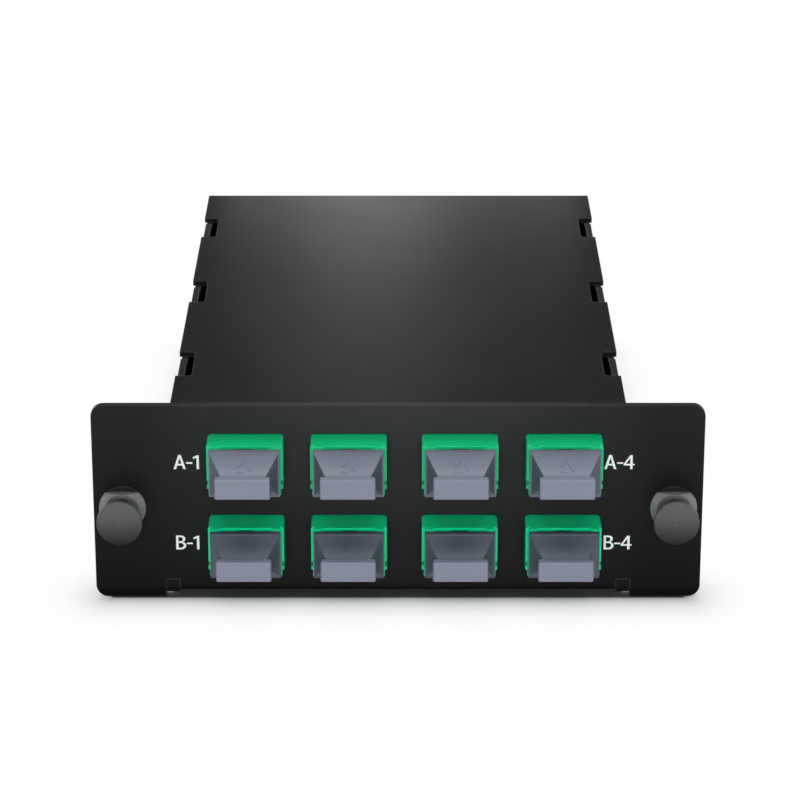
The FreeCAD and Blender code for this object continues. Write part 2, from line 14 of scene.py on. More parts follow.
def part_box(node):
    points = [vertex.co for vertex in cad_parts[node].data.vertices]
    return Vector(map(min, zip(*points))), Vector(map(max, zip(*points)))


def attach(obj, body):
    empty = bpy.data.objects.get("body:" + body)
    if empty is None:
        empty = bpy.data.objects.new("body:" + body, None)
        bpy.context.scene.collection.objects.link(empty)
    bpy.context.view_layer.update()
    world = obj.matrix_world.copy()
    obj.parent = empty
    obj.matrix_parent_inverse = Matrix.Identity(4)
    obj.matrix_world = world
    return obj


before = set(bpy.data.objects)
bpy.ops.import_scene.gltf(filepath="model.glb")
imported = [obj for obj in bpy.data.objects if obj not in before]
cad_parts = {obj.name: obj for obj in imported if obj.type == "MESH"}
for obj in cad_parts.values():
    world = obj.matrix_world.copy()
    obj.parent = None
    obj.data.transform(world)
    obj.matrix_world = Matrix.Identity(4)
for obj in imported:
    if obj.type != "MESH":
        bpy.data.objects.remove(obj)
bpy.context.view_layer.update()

MM = 0.001
PORTS_IN_ROW = 4
EDGE_GAIN = 9.0
STROKES = 3
STROKE_POINTS = (7, 3)
STROKE_LEAN = math.radians(115.0)
RAY_LENGTH = 20.0 * MM
LOG = logging.getLogger("cassette")

Colour = tuple[float, float, float]
Point = tuple[float, float, float]


class Row(Enum):
    """The two rows of ports, named as the panel names them."""

    A = "a"
    B = "b"


class Side(Enum):
    """The two ears of the panel."""

    LEFT = "left"
    RIGHT = "right"


# ---------------------------------------------------------------------------------------------
# Shader expressions
# ---------------------------------------------------------------------------------------------


class Graph:
    """The node tree of one material, filled by expressions on its sockets."""

    def __init__(self, name: str) -> None:
        """Start an empty tree with its output.

        Args:
            name: The material's name.
        """
        self.material = bpy.data.materials.new(name)
        self.material.use_nodes = True
        self.tree = self.material.node_tree
        self.tree.nodes.clear()
        self.output = self.tree.nodes.new("ShaderNodeOutputMaterial")

    def node(
        self,
        kind: str,
        settings: dict[str, Any] | None = None,
        inputs: dict[str | int, Any] | None = None,
        output: str | int = 0,
    ) -> "Value":
        """Add any node.

        Args:
            kind: The node's type.
            settings: Its settings, set before its sockets. "stops" holds a ramp's colour stops.
            inputs: Values or links of its sockets, by name or index.
            output: The output that is returned.

        Returns:
            That output, ready for expressions.
        """
        made = self.tree.nodes.new(kind)
        for key, setting in (settings or {}).items():
            if key == "stops":
                for index, (place, colour) in enumerate(setting):
                    elements = made.color_ramp.elements
                    stop = elements[index] if index < len(elements) else elements.new(place)
                    stop.position = place
                    stop.color = (*colour, 1.0)
            else:
                setattr(made, key, setting)
        for key, value in (inputs or {}).items():
            self.feed(made.inputs[key], value)
        return Value(self, made.outputs[output])

    def feed(self, socket: bpy.types.NodeSocket, value: Any) -> None:
        """Link or set one input socket.

        Args:
            socket: The input.
            value: A Value to link, or a number, colour or vector to set.
        """
        if isinstance(value, Value):
            self.tree.links.new(value.socket, socket)
        elif isinstance(value, tuple) and socket.type == "RGBA":
            socket.default_value = (*value, 1.0)
        else:
            socket.default_value = value

    def place(self) -> "Value":
        """The point on the surface, in metres, in the object's own frame."""
        return self.node("ShaderNodeTexCoord", output="Object")

    def noise(self, scale: float, detail: float = 2.0, at: "Value | None" = None) -> "Value":
        """Soft noise from 0 to 1.

        Args:
            scale: Waves per metre.
            detail: Octaves.
            at: Where it is read; the surface point by default.

        Returns:
            The noise value.
        """
        return self.node(
            "ShaderNodeTexNoise",
            {"noise_dimensions": "3D"},
            {"Vector": at or self.place(), "Scale": scale, "Detail": detail, "Roughness": 0.55},
            "Fac",
        )

    def blend(self, mask: "Value", low: Any, high: Any) -> "Value":
        """A colour between two, by a mask.

        Args:
            mask: 0 gives low and 1 gives high.
            low: A colour or a colour Value.
            high: A colour or a colour Value.

        Returns:
            The blended colour.
        """
        return self.node(
            "ShaderNodeMix", {"data_type": "RGBA"}, {"Factor": mask, 6: low, 7: high}, 2
        )

    def soft_normal(self, radius: float, height: "Value | None", depth: float) -> "Value":
        """A surface normal with rounded edges and, if a height is given, a fine relief.

        Args:
            radius: How far the rounding reaches from an edge, in metres.
            height: The relief's height from 0 to 1, or None.
            depth: What a height of 1 is, in metres.

        Returns:
            The normal.
        """
        rounded = self.node("ShaderNodeBevel", {"samples": 4}, {"Radius": radius}, "Normal")
        if height is None:
            return rounded
        return self.node(
            "ShaderNodeBump",
            None,
            {"Strength": 1.0, "Distance": depth, "Height": height, "Normal": rounded},
            "Normal",
        )

    def edge_nearness(self, radius: float) -> "Value":
        """How near a point is to an edge, the mask of the painted edge highlights.

        Args:
            radius: How far an edge reaches, in metres.

        Returns:
            1 along edges and 0 on open faces.
        """
        rounded = self.node("ShaderNodeBevel", {"samples": 6}, {"Radius": radius}, "Normal")
        flat = self.node("ShaderNodeNewGeometry", output="Normal")
        same = self.node(
            "ShaderNodeVectorMath", {"operation": "DOT_PRODUCT"}, {0: rounded, 1: flat}, "Value"
        )
        return ((1.0 - same) * EDGE_GAIN).clamp()

    def sideways(self) -> "Value":
        """How far the surface faces along X, either way, from 0 to 1."""
        facing = self.node("ShaderNodeNewGeometry", output="Normal").part("X")
        return facing * facing

    def surface(self, **sockets: Any) -> bpy.types.Material:
        """End the tree in a Principled shader.

        Args:
            **sockets: Its sockets, with an underscore for each space in a name.

        Returns:
            The finished material.
        """
        shader = self.node(
            "ShaderNodeBsdfPrincipled",
            None,
            {key.replace("_", " "): value for key, value in sockets.items()},
            "BSDF",
        )
        self.feed(self.output.inputs["Surface"], shader)
        return self.material


Operand = Union["Value", float, int]


class Value:
    """One output socket. Arithmetic on it adds Math nodes to its tree."""

    def __init__(self, graph: Graph, socket: bpy.types.NodeSocket) -> None:
        """Wrap a socket.

        Args:
            graph: The tree it is in.
            socket: The output socket.
        """
        self.graph = graph
        self.socket = socket

    def _math(self, operation: str, first: Operand, second: Operand = 0.0) -> "Value":
        """Add one Math node."""
        return self.graph.node(
            "ShaderNodeMath", {"operation": operation}, {0: first, 1: second}, "Value"
        )

    def __add__(self, other: Operand) -> "Value":
        """self + other."""
        return self._math("ADD", self, other)

    def __radd__(self, other: Operand) -> "Value":
        """other + self."""
        return self._math("ADD", other, self)

    def __sub__(self, other: Operand) -> "Value":
        """self - other."""
        return self._math("SUBTRACT", self, other)

    def __rsub__(self, other: Operand) -> "Value":
        """other - self."""
        return self._math("SUBTRACT", other, self)

    def __mul__(self, other: Operand) -> "Value":
        """self * other."""
        return self._math("MULTIPLY", self, other)

    def __rmul__(self, other: Operand) -> "Value":
        """other * self."""
        return self._math("MULTIPLY", other, self)

    def least(self, other: Operand) -> "Value":
        """The smaller of the two."""
        return self._math("MINIMUM", self, other)

    def exponential(self) -> "Value":
        """e to the power self."""
        return self._math("EXPONENT", self, 0.0)

    def along(self, start: float, end: float) -> "Value":
        """How far self is from start, as 0, to end, as 1, and on past both."""
        return (self - start) * (1.0 / (end - start))

    def clamp(self) -> "Value":
        """self, kept from 0 to 1."""
        return self._math("MINIMUM", self._math("MAXIMUM", self, 0.0), 1.0)

    def part(self, axis: str) -> "Value":
        """One coordinate of a vector.

        Args:
            axis: X, Y or Z.

        Returns:
            That coordinate.
        """
        return self.graph.node("ShaderNodeSeparateXYZ", None, {0: self}, axis)


# ---------------------------------------------------------------------------------------------
# Finishes
# ---------------------------------------------------------------------------------------------


@dataclass(frozen=True)
class PowderCoat:
    """Satin powder coat on steel: fine orange peel and a slightly uneven sheen."""

    name: str = "black_powder_coat"
    colour: Colour = (0.006, 0.006, 0.0062)
    lighter: Colour = (0.0085, 0.0085, 0.0087)
    roughness: float = 0.3
    sheen_change: float = 0.08
    shine: float = 0.12
    # The painted highlight colour along the edges.
    painted_edge_highlight: Colour = (0.075, 0.075, 0.077)
    peel_waves: float = 1500.0
    peel_depth: float = 0.004 * MM
    cloud_waves: float = 60.0
    highlight_waves: float = 400.0
    highlight_least: float = 0.45
    highlight_change: float = 0.8
    edge: float = 0.25 * MM

    def build(self) -> bpy.types.Material:
        """Build the finish.

        Returns:
            Its material.
        """
        graph = Graph(self.name)
        peel = graph.noise(self.peel_waves, 1.0)
        cloud = graph.noise(self.cloud_waves)
        # Painted highlight: the edges are painted paler, in patches along them.
        highlight_patches = self.highlight_least + graph.noise(self.highlight_waves) * self.highlight_change
        edge_highlight_mask = graph.edge_nearness(self.edge) * highlight_patches
        return graph.surface(
            Base_Color=graph.blend(edge_highlight_mask.clamp(), self.tint(graph, cloud), self.painted_edge_highlight),
            Roughness=self.sheen(graph, cloud),
            Normal=graph.soft_normal(self.edge, peel, self.peel_depth),
            Specular_IOR_Level=self.shine,
        )

    def sheen(self, graph: Graph, cloud: Value) -> Value:
        """The coat's roughness.

        Args:
            graph: The material's tree. Not used.
            cloud: The slow noise that makes it uneven.

        Returns:
            The roughness.
        """
        return uneven(self.roughness, self.sheen_change, cloud)

    def tint(self, graph: Graph, cloud: Value) -> Value:
        """The coat's colour away from its edges.

        Args:
            graph: The material's tree.
            cloud: The slow noise that makes it uneven.

        Returns:
            The colour.
        """
        return graph.blend(cloud, self.colour, self.lighter)


@dataclass(frozen=True)
class PanelCoat(PowderCoat):
    """The same coat with shading carried in its colour: darker low down and at the ears."""

    painted_light_colour: Colour = (0.042, 0.042, 0.0424)
    foot: float = 1.0 * MM
    head: float = 36.0 * MM
    spread: float = 46.0 * MM
    middle_alone: float = 0.12
    height_alone: float = 0.34
    height_and_middle: float = 0.54
    rough_from: float = 3.0 * MM
    rough_rise: float = 0.6

    def sheen(self, graph: Graph, cloud: Value) -> Value:
        """The coat's roughness, raised round the lower bend so that it mirrors less of the floor.

        Args:
            graph: The material's tree.
            cloud: The slow noise that makes it uneven.

        Returns:
            The roughness.
        """
        low = graph.place().part("Z").along(self.rough_from, self.foot).clamp()
        return super().sheen(graph, cloud) + low * self.rough_rise

    def tint(self, graph: Graph, cloud: Value) -> Value:
        """The coat's colour away from its edges, with painted shade: darker low down and at the
        ears.

        Args:
            graph: The material's tree.
            cloud: The slow noise that makes it uneven.

        Returns:
            The colour.
        """
        up = graph.place().part("Z").along(self.foot, self.head).clamp()
        across = graph.place().part("X") * (1.0 / self.spread)
        middle = (1.0 - across * across).clamp()
        lift = middle * self.middle_alone + up * (
            self.height_alone + middle * self.height_and_middle
        )
        return graph.blend(lift.clamp(), super().tint(graph, cloud), self.painted_light_colour)


@dataclass(frozen=True)
class MouldedPlastic:
    """Injection-moulded plastic with rounded edges and a fine texture."""

    name: str
    colour: Colour
    lighter: Colour
    roughness: float
    rim_highlight: Colour
    rim_highlight_strength: float = 0.5
    sheen_change: float = 0.06
    texture_waves: float = 2500.0
    texture_depth: float = 0.0015 * MM
    flow_waves: float = 120.0
    edge: float = 0.2 * MM
    shine: float = 0.25

    def build(self) -> bpy.types.Material:
        """Build the finish.

        Returns:
            Its material.
        """
        graph = Graph(self.name)
        grain = graph.noise(self.texture_waves)
        return graph.surface(
            Base_Color=self.tint(graph),
            Roughness=uneven(self.roughness, self.sheen_change, grain),
            Normal=graph.soft_normal(self.edge, grain, self.texture_depth),
            Specular_IOR_Level=self.shine,
        )

    def tint(self, graph: Graph) -> Value:
        """The plastic's colour, with a painted highlight along its edges.

        Args:
            graph: The material's tree.

        Returns:
            The colour.
        """
        body = graph.blend(graph.noise(self.flow_waves), self.colour, self.lighter)
        return graph.blend(graph.edge_nearness(self.edge) * self.rim_highlight_strength, body, self.rim_highlight)


@dataclass(frozen=True)
class CouplerPlastic(MouldedPlastic):
    """The couplers' plastic, with shading in its colour: paler sides and a paler lower row."""

    sides: Colour = (0.02, 0.9, 0.5)
    painted_light_low_row: Colour = (0.0, 0.85, 0.36)
    side_highlight_gain: float = 1.2

    def tint(self, graph: Graph) -> Value:
        """The coupler's colour, with painted light: a paler lower row and highlights on its
        sides.

        Args:
            graph: The material's tree.

        Returns:
            The colour.
        """
        body = graph.blend(lower_row(graph), super().tint(graph), self.painted_light_low_row)
        sideways = graph.sideways() * self.side_highlight_gain - (self.side_highlight_gain - 1.0)
        return graph.blend(sideways.clamp(), body, self.sides)


@dataclass(frozen=True)
class CapPlastic(MouldedPlastic):
    """The caps' plastic, with shading in its colour: darker towards the flange and on sides."""

    painted_shade: Colour = (0.09, 0.105, 0.14)
    front: float = 0.0
    back: float = 0.0
    depth_share: float = 0.6
    low_row_share: float = 0.9
    side_share: float = 0.7

    def tint(self, graph: Graph) -> Value:
        """The cap's painted shade: darker from the grip to the flange, most in the lower row.

        Args:
            graph: The material's tree.

        Returns:
            The colour.
        """
        shallow = super().tint(graph)
        down = graph.place().part("Y").along(self.front, self.back).clamp()
        depth = self.depth_share + lower_row(graph) * self.low_row_share
        # Painted shade, also on the faces along X.
        shade_amount = down * depth + graph.sideways() * self.side_share
        return graph.blend(shade_amount.clamp(), shallow, self.painted_shade)


@dataclass(frozen=True)
class BandedPlastic:
    """Moulded plastic with shading in its colour: in front, its grey changes with height."""

    name: str
    below: Colour
    above: Colour
    start: float
    end: float
    behind: Colour = (0.012, 0.012, 0.0122)
    front_end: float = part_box("tray")[0].y + 0.2 * MM
    front_blur: float = 0.2 * MM
    roughness: float = 0.34
    sheen_change: float = 0.06
    shine: float = 0.4
    edge: float = 0.2 * MM
    texture_waves: float = 2500.0
    texture_depth: float = 0.0015 * MM
    mottling: float = 0.12

    def build(self) -> bpy.types.Material:
        """Build the finish.

        Returns:
            Its material.
        """
        graph = Graph(self.name)
        grain = graph.noise(self.texture_waves)
        height = graph.place().part("Z").along(self.start, self.end)
        mottle = (grain - 0.5) * self.mottling
        front = graph.blend((height + mottle).clamp(), self.below, self.above)
        past = graph.place().part("Y").along(self.front_end, self.front_end + self.front_blur)
        return graph.surface(
            Base_Color=graph.blend(past.clamp(), front, self.behind),
            Roughness=uneven(self.roughness, self.sheen_change, grain),
            Normal=graph.soft_normal(self.edge, grain, self.texture_depth),
            Specular_IOR_Level=self.shine,
        )


@dataclass(frozen=True)
class RolledSteel:
    """Bare spring steel with faint rolling lines along one way."""

    name: str = "spring_steel"
    colour: Colour = (0.56, 0.56, 0.57)
    darker: Colour = (0.42, 0.42, 0.43)
    roughness: float = 0.32
    line_roughness: float = 0.12
    waves: Point = (200.0, 9000.0, 200.0)
    line_depth: float = 0.001 * MM
    edge: float = 0.05 * MM

    def build(self) -> bpy.types.Material:
        """Build the finish.

        Returns:
            Its material.
        """
        graph = Graph(self.name)
        stretched = graph.node(
            "ShaderNodeMapping", None, {"Vector": graph.place(), "Scale": self.waves}
        )
        lines = graph.noise(1.0, 3.0, stretched)
        return graph.surface(
            Base_Color=graph.blend(lines, self.colour, self.darker),
            Metallic=1.0,
            Roughness=self.roughness + lines * self.line_roughness,
            Normal=graph.soft_normal(self.edge, lines, self.line_depth),
        )


@dataclass(frozen=True)
class PrintInk:
    """Opaque screen-printing ink."""

    name: str = "white_print"
    colour: Colour = (0.98, 0.98, 0.98)
    thinner: Colour = (0.92, 0.92, 0.92)
    roughness: float = 0.55
    thin_roughness: float = 0.1
    cover_waves: float = 3000.0

    def build(self) -> bpy.types.Material:
        """Build the finish.

        Returns:
            Its material.
        """
        graph = Graph(self.name)
        cover = graph.noise(self.cover_waves)
        return graph.surface(
            Base_Color=graph.blend(cover, self.colour, self.thinner),
            Roughness=self.roughness + cover * self.thin_roughness,
        )


BLACK_COAT = PowderCoat()
PANEL_COAT = PanelCoat(
    name="black_panel_coat",
    colour=(0.0025, 0.0025, 0.0026),
    lighter=(0.0045, 0.0045, 0.0046),
    shine=0.08,
)
BLACK_SCREW = PowderCoat(name="black_screw", roughness=0.34, edge=0.12 * MM)
GREEN_PLASTIC = CouplerPlastic(
    name="green_plastic",
    colour=(0.0, 0.58, 0.19),
    lighter=(0.0, 0.65, 0.225),
    roughness=0.24,
    rim_highlight=(0.06, 0.86, 0.46),
    rim_highlight_strength=0.7,
    edge=0.22 * MM,
    shine=0.2,
)
GREY_PLASTIC = CapPlastic(
    name="grey_plastic",
    colour=(0.235, 0.262, 0.335),
    lighter=(0.255, 0.283, 0.36),
    rim_highlight=(0.36, 0.39, 0.48),
    roughness=0.42,
    edge=0.16 * MM,
    front=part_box("dust_cap_a1")[0].y + 2.0 * MM,
    back=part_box("dust_cap_a1")[0].y + 8.0 * MM,
)
# Painted light: the knob's grey is painted lighter towards its top.
KNOB_PLASTIC = BandedPlastic(
    name="knob_plastic",
    below=(0.006, 0.006, 0.0061),
    above=(0.12, 0.12, 0.122),
    start=12.6 * MM,
    end=19.0 * MM,
    shine=0.06,
)
# Painted highlight: the collar's lower part is painted pale grey, above it dark.
COLLAR_PLASTIC = BandedPlastic(
    name="collar_plastic",
    below=(0.2, 0.2, 0.203),
    above=(0.012, 0.012, 0.0122),
    start=20.3 * MM,
    end=20.5 * MM,
    roughness=0.3,
)
STEEL = RolledSteel()
WHITE_INK = PrintInk()

Finish = Union[PowderCoat, MouldedPlastic, BandedPlastic, RolledSteel, PrintInk]


@dataclass
class Palette:
    """The finishes in use, each built once."""

    built: dict[str, bpy.types.Material] = field(default_factory=dict)

    def of(self, finish: Finish) -> bpy.types.Material:
        """A finish's material.

        Args:
            finish: The finish.

        Returns:
            The one material that all its pieces share.
        """
        if finish.name not in self.built:
            self.built[finish.name] = finish.build()
        return self.built[finish.name]

    def dress(self, node: str, finish: Finish) -> None:
        """Give a solid of the frame its finish.

        Args:
            node: The solid's node.
            finish: The finish.
        """
        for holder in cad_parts[node].material_slots:
            holder.material = self.of(finish)
        LOG.info("dressed %s in %s", node, finish.name)


def uneven(level: float, change: float, noise: Value) -> Value:
    """A level that a noise moves up and down.

    Args:
        level: Its middle.
        change: From its least to its most.
        noise: The noise, from 0 to 1.

    Returns:
        The uneven level.
    """
    return (level - change / 2) + noise * change


def lower_row(graph: Graph) -> Value:
    """Which of the two rows of couplers a point belongs to.

    Args:
        graph: The tree that reads it.

    Returns:
        1 in the lower row and 0 in the upper row.
    """
    floor_of_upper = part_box("dust_cap_a1")[0].z
    ceiling_of_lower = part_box("dust_cap_b1")[1].z
    return graph.place().part("Z").along(floor_of_upper, ceiling_of_lower).clamp()


def add_object(name: str, data: Any) -> bpy.types.Object:
    """Add an object to the scene.

    Args:
        name: Its name.
        data: Its mesh, curve, light or camera.

    Returns:
        The object.
    """
    made = bpy.data.objects.new(name, data)
    bpy.context.scene.collection.objects.link(made)
    return made


def settle(piece: bpy.types.Object, body: str) -> None:
    """Make a finished piece ride on a body.

    Args:
        piece: The piece, with its place in its mesh.
        body: The body's name.
    """
    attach(piece, body)
    LOG.info("made %s on %s: %d faces", piece.name, body, len(piece.data.polygons))


# ---------------------------------------------------------------------------------------------
# Sub-assemblies
# ---------------------------------------------------------------------------------------------


@dataclass
class Case:
    """The folded tray with its front panel, the cover and its screws."""

    palette: Palette
    fill_inner: float = 39.42 * MM
    fill_outer: float = 41.88 * MM
    fill_low: float = 0.85 * MM
    fill_high: float = 3.38 * MM
    fill_back: float = 0.12 * MM
    fill_depth: float = 1.0 * MM
    fill_round: float = 0.08 * MM

    def dress(self) -> None:
        """Give the sheet metal and the screws their finishes, and close the corner reliefs."""
        self.palette.dress("tray", PANEL_COAT)
        self.palette.dress("cover", BLACK_COAT)
        self.palette.dress("cover_screws", BLACK_SCREW)
        for side in Side:
            self.add_corner_fill(side)

    def add_corner_fill(self, side: Side) -> bpy.types.Object:
        """The small rounded filler in the relief between the floor's bend and an ear.

        Args:
            side: The ear beside it.

        Returns:
            The filler.
        """
        hand = -1.0 if side is Side.LEFT else 1.0
        low = Vector((self.fill_inner, panel_face() + self.fill_back, self.fill_low))
        high = Vector((self.fill_outer, low.y + self.fill_depth, self.fill_high))
        form = bmesh.new()
        bmesh.ops.create_cube(form, size=1.0)
        middle, span = (low + high) / 2, high - low
        for vertex in form.verts:
            vertex.co = middle + vertex.co * span
            vertex.co.x *= hand
        if side is Side.LEFT:
            bmesh.ops.reverse_faces(form, faces=form.faces)
        bmesh.ops.bevel(
            form,
            geom=form.edges[:],
            offset=self.fill_round,
            segments=3,
            profile=0.5,
            affect="EDGES",
        )
        shape = bpy.data.meshes.new("corner_fill")
        form.to_mesh(shape)
        form.free()
        shape.shade_smooth()
        shape.materials.append(self.palette.of(PANEL_COAT))
        piece = add_object(f"corner_fill_{side.value}", shape)
        settle(piece, "case")
        return piece


Outline = list[tuple[float, float]]


def bowl(x: float, y: float, wide: float, tall: float) -> Outline:
    """The right half of an oval, from its foot to its top.

    Args:
        x: Where the half starts.
        y: The height of its middle.
        wide: How far it stands out.
        tall: Half its height.

    Returns:
        Its points.
    """
    turns = [math.radians(-90.0 + 15.0 * step) for step in range(13)]
    return [(x + wide * math.cos(turn), y + tall * math.sin(turn)) for turn in turns]


class Letter(Enum):
    """The printed letters: their width and outlines, drawn one unit tall."""

    A = (
        0.8,
        [
            [
                *[(0.0, 0.0), (0.16, 0.0), (0.245, 0.26), (0.555, 0.26), (0.64, 0.0), (0.8, 0.0)],
                *[(0.485, 1.0), (0.315, 1.0)],
            ],
            [(0.285, 0.385), (0.515, 0.385), (0.4, 0.79)],
        ],
    )
    B = (
        0.67,
        [
            [
                *[(0.0, 0.0), *bowl(0.33, 0.28, 0.34, 0.28)[:-1], (0.47, 0.54)],
                *[*bowl(0.31, 0.76, 0.31, 0.24)[2:], (0.0, 1.0)],
            ],
            [(0.16, 0.12), *bowl(0.31, 0.29, 0.19, 0.17), (0.16, 0.46)],
            [(0.16, 0.58), *bowl(0.29, 0.73, 0.16, 0.15), (0.16, 0.88)],
        ],
    )
    DASH = (0.4, [[(0.0, 0.38), (0.4, 0.38), (0.4, 0.485), (0.0, 0.485)]])
    ONE = (
        0.4,
        [
            [
                *[(0.24, 0.0), (0.4, 0.0), (0.4, 0.98), (0.27, 0.98), (0.0, 0.84)],
                *[(0.035, 0.72), (0.24, 0.82)],
            ],
        ],
    )
    FOUR = (
        0.72,
        [
            [
                *[(0.43, 0.0), (0.59, 0.0), (0.59, 0.26), (0.72, 0.26), (0.72, 0.375)],
                *[(0.59, 0.375), (0.59, 0.98), (0.42, 0.98), (0.0, 0.36), (0.0, 0.26)],
                (0.43, 0.26),
            ],
            [(0.155, 0.375), (0.43, 0.375), (0.43, 0.79)],
        ],
    )


@dataclass
class PortNames:
    """The port names printed on the panel, beside the outer columns."""

    palette: Palette
    letter_height: float = 2.72 * MM
    letter_gap: float = 0.035
    thickness: float = 0.02 * MM
    gap: float = 0.01 * MM
    row_middles: dict[Row, float] = field(
        default_factory=lambda: {Row.A: 26.16 * MM, Row.B: 10.58 * MM}
    )
    left_edges: dict[Row, float] = field(
        default_factory=lambda: {Row.A: -40.06 * MM, Row.B: -39.97 * MM}
    )
    right_edges: dict[Row, float] = field(
        default_factory=lambda: {Row.A: 36.8 * MM, Row.B: 37.0 * MM}
    )

    def print_all(self) -> None:
        """Print the first and the last port's name of each row."""
        for row, middle in self.row_middles.items():
            ends = (("1", Letter.ONE, self.left_edges), ("4", Letter.FOUR, self.right_edges))
            for column, figure, edges in ends:
                letters = [Letter[row.name], Letter.DASH, figure]
                self.print_name(f"{row.value}{column}", letters, edges[row], middle)

    def print_name(
        self, port: str, letters: list[Letter], left: float, middle: float
    ) -> bpy.types.Object:
        """One name as a thin raised print on the panel's face.

        Args:
            port: The port's short name.
            letters: The letters, from the left.
            left: Where the first one starts.
            middle: The height of their middle.

        Returns:
            The printed piece.
        """
        curve = bpy.data.curves.new("print", "CURVE")
        curve.dimensions, curve.fill_mode = "2D", "BOTH"
        curve.extrude = 0.5
        start = 0.0
        for letter in letters:
            width, outlines = letter.value
            for outline in outlines:
                spline = curve.splines.new("POLY")
                spline.points.add(len(outline) - 1)
                spline.use_cyclic_u = True
                for point, (x, y) in zip(spline.points, outline):
                    point.co = (start + x, y, 0.0, 1.0)
            start += width + self.letter_gap
        drawn = add_object("print", curve)
        bpy.context.view_layer.update()
        shape = bpy.data.meshes.new_from_object(
            drawn.evaluated_get(bpy.context.evaluated_depsgraph_get())
        )
        bpy.data.objects.remove(drawn)
        face = panel_face() - self.gap
        for vertex in shape.vertices:
            x, y, z = vertex.co
            vertex.co = (
                left + x * self.letter_height,
                face - self.thickness * (z + 0.5),
                middle + (y - 0.5) * self.letter_height,
            )
        shape.materials.append(self.palette.of(WHITE_INK))
        piece = add_object(f"port_name_{port}", shape)
        settle(piece, "case")
        return piece


def panel_face() -> float:
    """Where the panel's front face is, along Y."""
    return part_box("tray")[0].y


@dataclass
class Couplers:
    """The green couplers and the steel clips behind them."""

    palette: Palette

    def dress(self) -> None:
        """Give all eight their finishes."""
        for port in ports():
            self.palette.dress(f"adapter_{port}", GREEN_PLASTIC)
            self.palette.dress(f"adapter_clip_{port}", STEEL)


def ports() -> list[str]:
    """The ports' short names, in reading order."""
    return [f"{row.value}{column}" for row in Row for column in range(1, PORTS_IN_ROW + 1)]


@dataclass
class DustCaps:
    """The grey caps, each with three small raised strokes on its upper face."""

    palette: Palette
    stroke_length: float = 1.5 * MM
    stroke_width: float = 0.42 * MM
    stroke_rise: float = 0.2 * MM
    ring: float = 1.0 * MM
    grip_depth: float = 1.6 * MM
    set_back: float = 3.4 * MM
    drop_height: float = 2.0 * MM

    def dress(self) -> None:
        """Give the caps their finish and their relief."""
        for port in ports():
            self.palette.dress(f"dust_cap_{port}", GREY_PLASTIC)
            self.add_relief(port)

    def add_relief(self, port: str) -> bpy.types.Object:
        """Three strokes round a point of a cap's upper face, laid on its curve.

        Args:
            port: The port's short name.

        Returns:
            The relief as one plain mesh.
        """
        low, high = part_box(f"dust_cap_{port}")
        back = low.y + self.grip_depth + self.set_back
        centre = Vector(((low.x + high.x) / 2, back, high.z + self.drop_height))
        piece = add_object(f"cap_relief_{port}", bpy.data.meshes.new("relief"))
        tree = relief_tree(self.palette.of(GREY_PLASTIC))
        apply_tree(
            piece,
            tree,
            {
                "Cap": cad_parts[f"dust_cap_{port}"],
                "Centre": centre,
                "Ring": self.ring,
                "Length": self.stroke_length,
                "Width": self.stroke_width,
                "Rise": self.stroke_rise,
            },
        )
        settle(piece, f"cap_{port}")
        return piece


_TREES: dict[str, bpy.types.NodeTree] = {}


